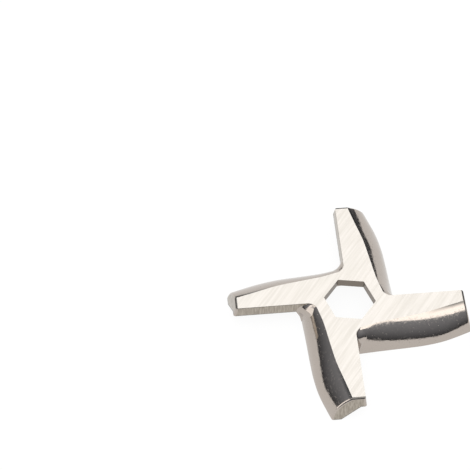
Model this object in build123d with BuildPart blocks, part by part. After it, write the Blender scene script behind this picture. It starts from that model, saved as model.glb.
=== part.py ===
from build123d import *
import os
from math import ceil, radians, tan

# Four-bladed cutting knife of a meat grinder, forged in one piece from stainless steel,
# polished, and ground flat on its cutting face.  Millimetres.  The origin lies on the drive
# axis, in the plane of the four lands that the knife stands on; +Z runs out of the ground
# face.  A blade is drawn along +X: its cutting edge lies close to the X axis, and its flank
# falls away on the -Y side, down to a foot that the knife stands on.

# ---- Driving dimensions -----------------------------------------------------------------
blade_count = 4
tip_radius = 23.9           # drive axis to a blade's end wall, at the ground face
overall_height = 5.65       # lands to ground face
blade_thickness = 2.45      # ground face to underside, at a cutting wall
hub_thickness = 2.1         # ground face to the seat round the drive hole
hexagon_across_flats = 9.4  # drive hole
hexagon_turn = -9.7         # degrees, a corner of the drive hole from a cutting edge
spot_face_diameter = 13.0   # that seat, sunk into the underside

leading_offset = 0.25       # cutting edge ahead of the radial line
leading_draft = 7.0         # degrees, wall below the cutting edge
tip_draft = 13.0            # degrees, end wall of a blade
tip_edge_radius = 0.5       # round an end wall
land_width = 1.9            # foot of the trailing rib that the knife stands on
web_angle = 37.0            # degrees, underside between a cutting wall's foot and the land
wall_slope = 84.0           # degrees, outer wall of the trailing rib
knee_tightness = 0.6       # flank to outer wall: 0 is a chamfer, 1 is a sharp knee

# A blade's lines, each as (distance from the drive axis, value) pairs joined by a smooth
# curve: the ground face's trailing edge and the foot as offsets in Y, the flank's slope beside
# the ground face in degrees.
ground_edge = [(-2, -7.9), (2, -6.95), (5, -6.2), (10, -5.45), (15, -4.65), (20, -3.35), (27, -1.6)]
foot_line = [(-2, -10.3), (2, -10.0), (6, -9.75), (12, -9.45), (16, -9.1), (20, -8.3), (27, -5.9)]
flank_slope = [(-2, 22), (2, 29), (5, 33), (9, 33), (13, 31), (20, 29), (27, 20)]

# Radii of the hollow between a cutting wall and the next blade's flank, evenly spaced in
# height from the lands up to the ground face.
valley_radii = [0.1, 0.4, 0.9, 1.7, 2.4, 2.3, 1.5]

# ---- Construction values ----------------------------------------------------------------
root_distance = -1.0        # a blade's first section, inside its neighbour
section_spacing = 2.0       # between a blade's sections
valley_overlap = 0.6        # how far a valley reaches into the blade that it joins
hollow_overlap = 0.02       # how far the ends of its hollow do
hollow_roundness = 0.55     # a circle's value, pull of the corner on the hollow's curve
height_steps = 30           # halvings in the search for a height on a flank

# ---- Derived ----------------------------------------------------------------------------
top = overall_height
underside = top - blade_thickness
leading_foot = leading_offset + blade_thickness * tan(radians(leading_draft))
web_run = underside / tan(radians(web_angle))
blade_end = tip_radius + overall_height * tan(radians(tip_draft))
section_count = ceil((blade_end - root_distance) / section_spacing) + 1


def along(line, distance):
    """Value of a blade's line at a distance from the drive axis, on a smooth curve."""
    last = len(line) - 1
    i = max(k for k in range(last) if line[k][0] <= distance or k == 0)
    (x0, y0), (x1, y1) = line[i], line[i + 1]
    (x_before, y_before), (x_after, y_after) = line[max(i - 1, 0)], line[min(i + 2, last)]
    slope0 = (y1 - y_before) / (x1 - x_before)
    slope1 = (y_after - y0) / (x_after - x0)
    span = x1 - x0
    t = (distance - x0) / span
    if t > 1:
        return y1 + slope1 * (distance - x1)
    start = y0 * (1 + 2 * t) + slope0 * span * t
    end = y1 * (3 - 2 * t) - slope1 * span * (1 - t)
    return start * (1 - t) ** 2 + end * t**2


def flank_curve(distance):
    """Curve of the flank from the ground face's trailing edge down to the foot."""
    start = Vector(along(ground_edge, distance), top)
    end = Vector(along(foot_line, distance), 0)
    flank_fall = tan(radians(along(flank_slope, distance)))
    wall_fall = tan(radians(wall_slope))
    knee_width = (wall_fall * (start - end).X - top) / (wall_fall - flank_fall)
    knee = start - Vector(knee_width, flank_fall * knee_width)
    start_pull = start + (knee - start) * knee_tightness
    end_pull = end + (knee - end) * knee_tightness
    return Bezier(start, start_pull, end_pull, end)


def flank_offset(distance, height):
    """Offset in Y of the flank at a distance from the drive axis and a height."""
    curve = flank_curve(distance)
    share, step = 0.5, 0.25
    for _ in range(height_steps):
        share += step if (curve @ share).Y > height else -step
        step /= 2
    return (curve @ share).X


# ---- Valley -----------------------------------------------------------------------------
# Fills the corner between a cutting wall and the next blade's flank with a hollow that runs
# from the ground face down to the foot.
with BuildPart() as valley:
    for level, radius in enumerate(valley_radii):
        height = top * level / (len(valley_radii) - 1)
        wall = leading_offset + (top - height) * tan(radians(leading_draft))
        corner = Vector(wall, flank_offset(wall, height))
        wall_end = corner - Vector(hollow_overlap, radius)
        flank_end = Vector(wall + radius, flank_offset(wall + radius, height) + hollow_overlap)
        wall_pull = wall_end + (corner - wall_end) * hollow_roundness
        flank_pull = flank_end + (corner - flank_end) * hollow_roundness
        with BuildSketch(Plane.XY.offset(height)):
            with BuildLine():
                Bezier(wall_end, wall_pull, flank_pull, flank_end)
                Polyline(
                    flank_end,
                    flank_end + Vector(0, valley_overlap),
                    (wall - valley_overlap, flank_end.Y + valley_overlap),
                    (wall - valley_overlap, wall_end.Y),
                    wall_end,
                )
            make_face()
    loft()

# ---- Blade ------------------------------------------------------------------------------
with BuildPart() as blade:
    for index in range(section_count):
        distance = root_distance + index * section_spacing
        with BuildSketch(Plane.YZ.offset(distance)):
            with BuildLine():
                flank = flank_curve(distance)
                land = Line(flank @ 1, flank @ 1 + Vector(land_width, 0))
                Polyline(
                    land @ 1,
                    land @ 1 + Vector(web_run, underside),
                    (leading_foot, underside),
                    (leading_offset, top),
                    flank @ 0,
                )
            make_face()
    loft()
    end_wall = Plane(origin=(tip_radius, 0, top), z_dir=(1, 0, tan(radians(tip_draft))))
    split(bisect_by=end_wall, keep=Keep.BOTTOM)
    end_face = blade.faces().sort_by(Axis.X)[-1]
    rim = end_face.edges().filter_by(lambda edge: edge.bounding_box().max.Z > (top + underside) / 2)
    fillet(rim, tip_edge_radius)
    add(valley.part)

# ---- Knife ------------------------------------------------------------------------------
with BuildPart() as grinder_knife:
    with PolarLocations(0, blade_count):
        add(blade.part)
    with BuildSketch(Plane.XY.offset(top - hub_thickness)):
        Circle(spot_face_diameter / 2)
    extrude(amount=hub_thickness - top, mode=Mode.SUBTRACT)
    with BuildSketch(Plane.XY.offset(top - hub_thickness)):
        RegularPolygon(hexagon_across_flats / 2, 6, major_radius=False, rotation=hexagon_turn)
    extrude(amount=hub_thickness, mode=Mode.SUBTRACT)

grinder_knife.part.label = "grinder_knife"
os.makedirs("parts", exist_ok=True)
export_step(grinder_knife.part, "parts/grinder_knife.step")
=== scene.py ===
import logging
import math
from dataclasses import dataclass
from enum import Enum

import bpy
from mathutils import Matrix, Vector

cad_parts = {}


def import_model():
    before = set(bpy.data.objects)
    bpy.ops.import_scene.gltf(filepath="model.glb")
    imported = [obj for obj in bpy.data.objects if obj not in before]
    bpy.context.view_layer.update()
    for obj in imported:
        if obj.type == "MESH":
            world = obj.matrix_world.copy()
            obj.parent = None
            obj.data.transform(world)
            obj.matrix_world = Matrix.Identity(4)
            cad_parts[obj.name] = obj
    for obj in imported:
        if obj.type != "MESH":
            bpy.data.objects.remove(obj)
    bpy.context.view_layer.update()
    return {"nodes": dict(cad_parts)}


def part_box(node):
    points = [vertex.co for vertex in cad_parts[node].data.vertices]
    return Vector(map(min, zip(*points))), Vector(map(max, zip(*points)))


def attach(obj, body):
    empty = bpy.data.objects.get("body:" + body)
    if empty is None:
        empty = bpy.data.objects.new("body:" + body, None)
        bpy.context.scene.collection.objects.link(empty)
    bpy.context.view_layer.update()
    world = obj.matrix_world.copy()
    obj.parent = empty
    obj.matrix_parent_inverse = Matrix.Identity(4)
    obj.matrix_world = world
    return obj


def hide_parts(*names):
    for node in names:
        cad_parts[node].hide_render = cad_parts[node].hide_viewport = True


logging.basicConfig(level=logging.INFO, format="%(levelname)s %(message)s")
log = logging.getLogger("grinder_knife")

MM = 0.001
BLADE_PLACE = "blade_place"


def linear(hex_colour: str) -> tuple[float, float, float, float]:
    """Turn an sRGB hex colour into a linear one.

    Args:
        hex_colour: Six hex digits after a hash sign.

    Returns:
        Red, green and blue in linear light, and an alpha of 1.
    """
    channels = [int(hex_colour[i : i + 2], 16) / 255 for i in (1, 3, 5)]
    decoded = [c / 12.92 if c <= 0.04045 else ((c + 0.055) / 1.055) ** 2.4 for c in channels]
    return (*decoded, 1.0)


def add_node(
    tree: bpy.types.NodeTree, kind: str, links: dict | None = None, **settings
) -> bpy.types.Node:
    """Add one node with its settings, and link or set its inputs.

    Args:
        tree: The node tree of a material or a world.
        kind: The node's type, without the ShaderNode prefix.
        links: Input name or number to the output socket or the value that it takes.
        **settings: Properties of the node.

    Returns:
        The new node.
    """
    node = tree.nodes.new("ShaderNode" + kind)
    for name, value in settings.items():
        setattr(node, name, value)
    for name, value in (links or {}).items():
        socket = node.inputs[name]
        if isinstance(value, bpy.types.NodeSocket):
            tree.links.new(value, socket)
        else:
            socket.default_value = value
    return node


@dataclass(frozen=True)
class View:
    """The camera, above and in front of the knife.

    Angles are in radians and lengths in metres.  The knife's ground face has its centre at
    centre_pixel of a square picture, counted from its top left corner.
    """

    elevation: float = math.radians(54.345)
    azimuth: float = math.radians(4.934)
    roll: float = math.radians(0.096)
    distance: float = 364.0 * MM
    focal_pixels: float = 1742.56
    image_size: float = 470.0
    centre_pixel: tuple[float, float] = (349.9, 299.2)
    sensor: float = 36.0
    clip_near: float = 0.01
    clip_far: float = 20.0

    def place(self, target: Vector) -> bpy.types.Object:
        """Add the camera so that a point of the knife lies at its place in the picture.

        Args:
            target: The point, in metres.

        Returns:
            The camera object.
        """
        turn = Matrix.Rotation(-self.azimuth, 3, "Z")
        right = turn @ Vector((1, 0, 0))
        back = turn @ Vector((0, -math.cos(self.elevation), math.sin(self.elevation)))
        spin = Matrix.Rotation(-self.roll, 3, back)
        right, up = spin @ right, spin @ back.cross(right)
        metres_per_pixel = self.distance / self.focal_pixels
        across = (self.centre_pixel[0] - self.image_size / 2) * metres_per_pixel
        down = (self.centre_pixel[1] - self.image_size / 2) * metres_per_pixel
        data = bpy.data.cameras.new("camera")
        data.sensor_width = self.sensor
        data.lens = self.focal_pixels / self.image_size * self.sensor
        data.clip_start, data.clip_end = self.clip_near, self.clip_far
        camera = bpy.data.objects.new("camera", data)
        bpy.context.scene.collection.objects.link(camera)
        place = target - across * right + down * up + self.distance * back
        facing = Matrix((right, up, back)).transposed().to_4x4()
        camera.matrix_world = Matrix.Translation(place) @ facing
        bpy.context.scene.camera = camera
        return camera


@dataclass(frozen=True)
class SteelFinish:
    """Stainless steel; each finish below says how its surface was made."""

    name: str
    colour: str
    roughness: float

    def start(
        self,
    ) -> tuple[bpy.types.Material, bpy.types.NodeTree, bpy.types.Node, bpy.types.NodeSocket]:
        """Begin the material.

        Returns:
            The material, its node tree, its Principled shader and the object coordinates.
        """
        material = bpy.data.materials.new(self.name)
        material.use_nodes = True
        tree = material.node_tree
        shader = tree.nodes["Principled BSDF"]
        shader.inputs["Base Color"].default_value = linear(self.colour)
        shader.inputs["Metallic"].default_value = 1.0
        shader.inputs["Roughness"].default_value = self.roughness
        place = add_node(tree, "TexCoord").outputs["Object"]
        return material, tree, shader, place

    def make(self) -> bpy.types.Material:
        """Build the material in one colour; a finish with a pattern has its own make.

        Returns:
            The material.
        """
        return self.start()[0]


@dataclass(frozen=True)
class LinedSteel(SteelFinish):
    """Stainless steel that a grit has left with parallel lines, from colour down to dark."""

    dark: str
    darkest: float = 0.35
    palest: float = 0.65
    line_detail: float = 3.0

    def shade_lines(
        self, tree: bpy.types.NodeTree, shader: bpy.types.Node, scaled: bpy.types.NodeSocket
    ) -> bpy.types.NodeSocket:
        """Colour the lines.

        Args:
            tree: The material's node tree.
            shader: The Principled shader.
            scaled: Coordinates with one line to a unit across and one line's length along.

        Returns:
            The lines' height, from 0 to 1.
        """
        inputs = {"Vector": scaled, "Scale": 1.0, "Detail": self.line_detail}
        lines = add_node(tree, "TexNoise", inputs)
        shade = add_node(
            tree,
            "MapRange",
            {"Value": lines.outputs["Fac"], "From Min": self.darkest, "From Max": self.palest},
        )
        colour = add_node(
            tree,
            "Mix",
            {"Factor": shade.outputs["Result"], "A": linear(self.dark), "B": linear(self.colour)},
            data_type="RGBA",
        )
        tree.links.new(colour.outputs["Result"], shader.inputs["Base Color"])
        return lines.outputs["Fac"]


@dataclass(frozen=True)
class MopPolishedSteel(SteelFinish):
    """The flanks, hollows and tip roundings, polished bright on a mop.

    The mop leaves a mirror with a faint orange peel and a haze that comes and goes, and the
    pores of the forging show in it as small pale specks.  Along the edge beside the ground
    face, towards the tip, a darker colour is painted shade.
    """

    name: str = "stainless_steel_mop_polished"
    colour: str = "#B3AAA2"
    # Painted shade: the darker colour painted along the edge beside the ground face.
    painted_shade_colour: str = "#5E5C59"
    roughness: float = 0.09
    haze: float = 0.26
    speck_roughness: float = 0.55
    peel_size: float = 0.8 * MM
    peel_depth: float = 0.0014 * MM
    peel_detail: float = 2.0
    haze_size: float = 0.5 * MM
    haze_detail: float = 4.0
    haze_onset: float = 0.5
    haze_full: float = 0.72
    speck_spacing: float = 0.8 * MM
    speck_radius: float = 0.13 * MM
    edge_shade_depth: float = 0.5 * MM
    edge_shade_start: float = 15.0 * MM
    edge_shade_end: float = 21.0 * MM
    top: float = 5.65 * MM

    def painted_edge_shade(self, tree: bpy.types.NodeTree, place: bpy.types.NodeSocket) -> bpy.types.NodeSocket:
        """Find the band of painted shade along the edge beside the ground face, which widens
        towards the tip.

        Args:
            tree: The material's node tree.
            place: Position along, across and up the blade.

        Returns:
            The painted shade, from 0 to 1.
        """
        parts = add_node(tree, "SeparateXYZ", {0: place}).outputs
        near_top = add_node(
            tree,
            "MapRange",
            {"Value": parts["Z"], "From Min": self.top - self.edge_shade_depth, "From Max": self.top},
            interpolation_type="SMOOTHSTEP",
        )
        near_tip = add_node(
            tree,
            "MapRange",
            {"Value": parts["X"], "From Min": self.edge_shade_start, "From Max": self.edge_shade_end},
        )
        shade_band = add_node(
            tree,
            "Math",
            {0: near_top.outputs["Result"], 1: near_tip.outputs["Result"]},
            operation="MULTIPLY",
        )
        return shade_band.outputs[0]

    def make(self) -> bpy.types.Material:
        """Build the material.

        Returns:
            The material.
        """
        material, tree, shader, point = self.start()
        place = add_node(tree, "Attribute", attribute_name=BLADE_PLACE).outputs["Vector"]
        haze_inputs = {"Vector": point, "Scale": 1 / self.haze_size, "Detail": self.haze_detail}
        clouds = add_node(tree, "TexNoise", haze_inputs)
        cells = add_node(tree, "TexVoronoi", {"Vector": point, "Scale": 1 / self.speck_spacing})
        speck_share = self.speck_radius / self.speck_spacing
        speck = add_node(
            tree,
            "MapRange",
            {"Value": cells.outputs["Distance"], "From Min": speck_share, "From Max": 0.0},
        )
        haze = add_node(
            tree,
            "MapRange",
            {
                "Value": clouds.outputs["Fac"],
                "From Min": self.haze_onset,
                "From Max": self.haze_full,
                "To Min": self.roughness,
                "To Max": self.haze,
            },
        )
        rough = add_node(
            tree,
            "Math",
            {0: speck.outputs["Result"], 1: self.speck_roughness, 2: haze.outputs["Result"]},
            operation="MULTIPLY_ADD",
        )
        tree.links.new(rough.outputs[0], shader.inputs["Roughness"])
        # Painted shade: towards the tip, the colour darkens along the edge beside the ground face.
        colour = add_node(
            tree,
            "Mix",
            {
                "Factor": self.painted_edge_shade(tree, place),
                "A": linear(self.colour),
                "B": linear(self.painted_shade_colour),
            },
            data_type="RGBA",
        )
        tree.links.new(colour.outputs["Result"], shader.inputs["Base Color"])
        peel_inputs = {"Vector": point, "Scale": 1 / self.peel_size, "Detail": self.peel_detail}
        peel = add_node(tree, "TexNoise", peel_inputs)
        bump = add_node(
            tree,
            "Bump",
            {
                "Strength": 1.0,
                "Distance": self.peel_depth,
                "Height": peel.outputs["Fac"],
            },
        )
        tree.links.new(bump.outputs["Normal"], shader.inputs["Normal"])
        return material


@dataclass(frozen=True)
class SurfaceGroundSteel(LinedSteel):
    """The cutting face, ground flat on a grinding machine.

    Fine parallel scratches from a grit of about 0.05 mm catch the light as faint pale and
    dark lines.  They are drawn 0.36 mm apart, because the real ones are too fine to show.
    """

    name: str = "stainless_steel_surface_ground"
    colour: str = "#B0ADA9"
    dark: str = "#A6A39E"
    roughness: float = 0.28
    line_angle: float = math.radians(52.0)
    line_spacing: float = 0.36 * MM
    line_length: float = 9.0 * MM
    line_depth: float = 0.0006 * MM

    def make(self) -> bpy.types.Material:
        """Build the material.

        Returns:
            The material.
        """
        material, tree, shader, place = self.start()
        turn = (0.0, 0.0, -self.line_angle)
        turned = add_node(tree, "Mapping", {"Vector": place, "Rotation": turn})
        scale = (1 / self.line_length, 1 / self.line_spacing, 1 / self.line_length)
        stretched = add_node(tree, "Mapping", {"Vector": turned.outputs[0], "Scale": scale})
        lines = self.shade_lines(tree, shader, stretched.outputs[0])
        bump = add_node(
            tree,
            "Bump",
            {"Strength": 1.0, "Distance": self.line_depth, "Height": lines},
        )
        tree.links.new(bump.outputs["Normal"], shader.inputs["Normal"])
        return material


@dataclass(frozen=True)
class BeltLinishedSteel(LinedSteel):
    """The cutting walls and end walls, dressed on a fine belt.

    The belt leaves faint upright lines.  They are drawn 0.35 mm apart, because the real ones
    are too fine to show.  It also rolls the sharp edge over a little, so that the edge catches
    the light.  That is drawn in the light alone, with a Bevel node.
    """

    name: str = "stainless_steel_belt_linished"
    colour: str = "#AEA69B"
    dark: str = "#958D82"
    roughness: float = 0.16
    line_spacing: float = 0.35 * MM
    line_length: float = 5.0 * MM
    line_depth: float = 0.001 * MM
    edge_radius_hub: float = 0.4 * MM
    edge_radius_tip: float = 0.6 * MM
    hub_distance: float = 7.0 * MM
    tip_distance: float = 22.0 * MM
    edge_samples: int = 16

    def make(self) -> bpy.types.Material:
        """Build the material.

        Returns:
            The material.
        """
        material, tree, shader, place = self.start()
        scale = (1 / self.line_spacing, 1 / self.line_spacing, 1 / self.line_length)
        stretched = add_node(tree, "Mapping", {"Vector": place, "Scale": scale})
        lines = self.shade_lines(tree, shader, stretched.outputs[0])
        reach = add_node(tree, "VectorMath", {0: place}, operation="LENGTH")
        radius = add_node(
            tree,
            "MapRange",
            {
                "Value": reach.outputs["Value"],
                "From Min": self.hub_distance,
                "From Max": self.tip_distance,
                "To Min": self.edge_radius_hub,
                "To Max": self.edge_radius_tip,
            },
        )
        rounded = add_node(
            tree, "Bevel", {"Radius": radius.outputs["Result"]}, samples=self.edge_samples
        )
        bump = add_node(
            tree,
            "Bump",
            {
                "Strength": 1.0,
                "Distance": self.line_depth,
                "Height": lines,
                "Normal": rounded.outputs["Normal"],
            },
        )
        tree.links.new(bump.outputs["Normal"], shader.inputs["Normal"])
        return material


@dataclass(frozen=True)
class BroachedSteel(SteelFinish):
    """The drive hole, cut with a broach: satin, in one colour, without the broach's lines."""

    name: str = "stainless_steel_broached"
    colour: str = "#7D746B"
    roughness: float = 0.34


@dataclass(frozen=True)
class ForgedSteel(SteelFinish):
    """The underside, forged and tumbled: dull, in one colour, without the tumbler's grain."""

    name: str = "stainless_steel_forged_tumbled"
    colour: str = "#A39B94"
    roughness: float = 0.36


class Surface(Enum):
    """The knife's surfaces, each with its finish, in the order of their material slots."""

    FORMED = MopPolishedSteel()
    CUTTING_FACE = SurfaceGroundSteel()
    WALL = BeltLinishedSteel()
    DRIVE_HOLE = BroachedSteel()
    UNDERSIDE = ForgedSteel()


@dataclass
class Knife:
    """The knife, one piece of steel with four blades round a hexagonal drive hole."""

    blade_count: int = 4
    cutting_draft: float = math.radians(7.0)
    end_draft: float = math.radians(13.0)
    hole_reach: float = 5.5 * MM
    angle_slack: float = math.radians(0.5)
    merge_distance: float = 0.0001 * MM
    level_slack: float = 0.01 * MM
    sector_start: float = math.radians(-84.0)

    def surface_of(self, normal: Vector, centre: Vector, top: float) -> Surface:
        """Name the surface that a face belongs to.

        Args:
            normal: The face's normal.
            centre: The face's centre, in metres.
            top: Height of the ground face, in metres.

        Returns:
            The surface.
        """
        steepness = math.asin(max(-1.0, min(1.0, normal.z)))
        if steepness > math.pi / 2 - self.angle_slack and top - centre.z < self.level_slack:
            return Surface.CUTTING_FACE
        if steepness < -self.angle_slack:
            return Surface.UNDERSIDE
        if abs(steepness) < self.angle_slack and math.hypot(centre.x, centre.y) < self.hole_reach:
            return Surface.DRIVE_HOLE
        quarter = 2 * math.pi / self.blade_count
        bearing = math.atan2(normal.y, normal.x) % quarter
        off_axis = min(bearing, quarter - bearing)
        draft_gap = min(abs(steepness - self.cutting_draft), abs(steepness - self.end_draft))
        if off_axis < self.angle_slack and draft_gap < self.angle_slack:
            return Surface.WALL
        return Surface.FORMED

    def note_blade_places(self, mesh: bpy.types.Mesh) -> None:
        """Give each corner its place along, across and up its own blade.

        Args:
            mesh: The knife's mesh.
        """
        places = mesh.attributes.new(BLADE_PLACE, "FLOAT_VECTOR", "CORNER")
        quarter = 2 * math.pi / self.blade_count
        for face in mesh.polygons:
            bearing = math.atan2(face.center.y, face.center.x)
            blade = math.floor((bearing - self.sector_start) / quarter)
            turn = Matrix.Rotation(-blade * quarter, 3, "Z")
            for corner in face.loop_indices:
                vertex = mesh.vertices[mesh.loops[corner].vertex_index]
                places.data[corner].vector = turn @ vertex.co

    def build(self, solid: bpy.types.Object) -> bpy.types.Object:
        """Make the dressed knife from the solid's own faces.

        The forging keeps its true curvature in the light, because each corner keeps the
        normal that it has on the solid.

        Args:
            solid: The knife's solid.

        Returns:
            The dressed knife.
        """
        piece = solid.copy()
        piece.data = solid.data.copy()
        piece.name = piece.data.name = "knife_steel"
        bpy.context.scene.collection.objects.link(piece)
        mesh = piece.data
        kept = mesh.attributes.new("kept_normal", "FLOAT_VECTOR", "CORNER")
        for index, corner in enumerate(mesh.corner_normals):
            kept.data[index].vector = corner.vector
        bpy.ops.object.select_all(action="DESELECT")
        piece.select_set(True)
        bpy.context.view_layer.objects.active = piece
        bpy.ops.object.mode_set(mode="EDIT")
        bpy.ops.mesh.select_all(action="SELECT")
        bpy.ops.mesh.remove_doubles(threshold=self.merge_distance)
        bpy.ops.object.mode_set(mode="OBJECT")
        bpy.ops.object.shade_smooth()
        kept = mesh.attributes["kept_normal"]
        mesh.normals_split_custom_set([tuple(corner.vector) for corner in kept.data])
        mesh.attributes.remove(mesh.attributes["kept_normal"])
        self.note_blade_places(mesh)
        mesh.materials.clear()
        order = list(Surface)
        for surface in order:
            mesh.materials.append(surface.value.make())
        top = max(vertex.co.z for vertex in mesh.vertices)
        for face in mesh.polygons:
            face.material_index = order.index(self.surface_of(face.normal, face.center, top))
        return piece


@dataclass(frozen=True)
class Panel:
    """A flat lamp, a cloth lit from behind.

    Corners are in metres.  A panel that only the steel's mirror sees lights nothing else.
    """

    name: str
    corners: tuple[tuple[float, float, float], ...]
    strength: float
    lights_all: bool = True

    def build(self) -> bpy.types.Object:
        """Add the panel.

        Returns:
            The panel.
        """
        bpy.ops.object.select_all(action="DESELECT")
        bpy.ops.mesh.primitive_plane_add(size=1)
        panel = bpy.context.object
        panel.name = self.name
        for vertex, corner in zip(panel.data.vertices, self.corners):
            vertex.co = corner
        material = bpy.data.materials.new(self.name + "_cloth")
        material.use_nodes = True
        tree = material.node_tree
        tree.nodes.clear()
        glow = add_node(tree, "Emission", {"Color": linear("#FFFDFB"), "Strength": self.strength})
        add_node(tree, "OutputMaterial", {"Surface": glow.outputs[0]})
        panel.data.materials.append(material)
        panel.visible_camera = False
        panel.visible_diffuse = self.lights_all
        return panel


@dataclass
class Studio:
    """White floor, overhead cloth, side cloth and the dark room that polished steel mirrors."""

    reach: float = 1.2
    floor_span: float = 4.0
    floor_gap: float = 0.02 * MM
    lamp_height: float = 0.6
    lamp_half_width: float = 0.9
    lamp_front: tuple[float, float] = (-0.7, -0.92)
    lamp_back: float = 1.3
    side_reach: float = 0.9
    side_bearings: tuple[float, float] = (math.radians(-38.0), math.radians(6.0))
    side_elevations: tuple[float, float] = (math.radians(2.0), math.radians(42.0))
    room_rise: float = 0.7
    room_segments: int = 48
    room_rings: int = 24
    lamp_strength: float = 2.45
    side_strength: float = 1.7
    floor_glow: float = 0.93
    room_low: str = "#3F4043"
    room_high: str = "#A6ABB3"

    def floor(self) -> bpy.types.Object:
        """Add the white floor, which shows the knife's shadow.

        Returns:
            The floor.
        """
        bpy.ops.object.select_all(action="DESELECT")
        bpy.ops.mesh.primitive_plane_add(size=self.reach * self.floor_span)
        for vertex in bpy.context.object.data.vertices:
            vertex.co.z = -self.floor_gap
        floor = bpy.context.object
        floor.name = "floor"
        material = bpy.data.materials.new("paper_white")
        material.use_nodes = True
        tree = material.node_tree
        tree.nodes.clear()
        diffuse = add_node(tree, "BsdfDiffuse", {"Color": linear("#E6E6E6")})
        glow = add_node(tree, "Emission", {"Color": (1, 1, 1, 1), "Strength": 1.0})
        path = add_node(tree, "LightPath").outputs
        mirrored = add_node(
            tree, "Math", {0: path["Is Camera Ray"], 1: path["Is Glossy Ray"]}, operation="MAXIMUM"
        )
        seen = add_node(
            tree,
            "Math",
            {0: mirrored.outputs[0], 1: path["Is Transmission Ray"]},
            operation="MAXIMUM",
        )
        share = add_node(
            tree, "Math", {0: seen.outputs[0], 1: self.floor_glow}, operation="MULTIPLY"
        )
        mix = add_node(
            tree, "MixShader", {0: share.outputs[0], 1: diffuse.outputs[0], 2: glow.outputs[0]}
        )
        add_node(tree, "OutputMaterial", {"Surface": mix.outputs[0]})
        floor.data.materials.append(material)
        return floor

    def world(self) -> None:
        """Add the white world."""
        world = bpy.data.worlds.new("studio")
        bpy.context.scene.world = world
        world.use_nodes = True
        tree = world.node_tree
        tree.nodes.clear()
        background = add_node(tree, "Background", {"Color": (1, 1, 1, 1), "Strength": 1.0})
        add_node(tree, "OutputWorld", {"Surface": background.outputs[0]})

    def room(self) -> bpy.types.Object:
        """Add the dark room, which only mirrors show and which is paler higher up.

        Returns:
            The room.
        """
        bpy.ops.object.select_all(action="DESELECT")
        bpy.ops.mesh.primitive_uv_sphere_add(
            segments=self.room_segments, ring_count=self.room_rings, radius=self.reach
        )
        room = bpy.context.object
        room.name = "dark_room"
        material = bpy.data.materials.new("dark_cloth")
        material.use_nodes = True
        tree = material.node_tree
        tree.nodes.clear()
        place = add_node(tree, "TexCoord").outputs["Object"]
        height = add_node(tree, "SeparateXYZ", {0: place}).outputs["Z"]
        rise = add_node(
            tree,
            "MapRange",
            {"Value": height, "From Min": 0.0, "From Max": self.reach * self.room_rise},
        )
        colour = add_node(
            tree,
            "Mix",
            {
                "Factor": rise.outputs["Result"],
                "A": linear(self.room_low),
                "B": linear(self.room_high),
            },
            data_type="RGBA",
        )
        glow = add_node(tree, "Emission", {"Color": colour.outputs["Result"], "Strength": 1.0})
        add_node(tree, "OutputMaterial", {"Surface": glow.outputs[0]})
        room.data.materials.append(material)
        room.visible_camera = False
        room.visible_diffuse = False
        room.visible_shadow = False
        room.visible_transmission = False
        return room

    def lamps(self) -> list[bpy.types.Object]:
        """Add the overhead cloth and the side cloth.

        The overhead cloth's widths and depths are shares of its height.

        Returns:
            The lamps.
        """
        h = self.lamp_height
        wide = self.lamp_half_width * h
        left_front, right_front = (share * h for share in self.lamp_front)
        back = self.lamp_back * h
        overhead = Panel(
            "overhead",
            ((-wide, left_front, h), (wide, right_front, h), (-wide, back, h), (wide, back, h)),
            self.lamp_strength,
        )
        corners = tuple(
            (
                -self.side_reach * math.cos(bearing) * math.cos(elevation),
                self.side_reach * math.sin(bearing) * math.cos(elevation),
                self.side_reach * math.sin(elevation),
            )
            for elevation in self.side_elevations
            for bearing in self.side_bearings
        )
        side = Panel("left_side", corners, self.side_strength, lights_all=False)
        return [overhead.build(), side.build()]


def main() -> None:
    """Build the knife and its studio."""
    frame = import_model()
    bpy.context.scene.view_settings.view_transform = "Standard"
    solid = frame["nodes"]["grinder_knife"]
    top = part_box("grinder_knife")[1].z
    View().place(Vector((0, 0, top)))
    studio = Studio()
    studio.floor()
    studio.world()
    studio.room()
    lamps = studio.lamps()
    log.info("studio: floor, room and %d lamps", len(lamps))
    knife = Knife().build(solid)
    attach(knife, "root")
    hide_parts("grinder_knife")
    log.info("knife: %d faces", len(knife.data.polygons))


if __name__ == "__main__":
    main()
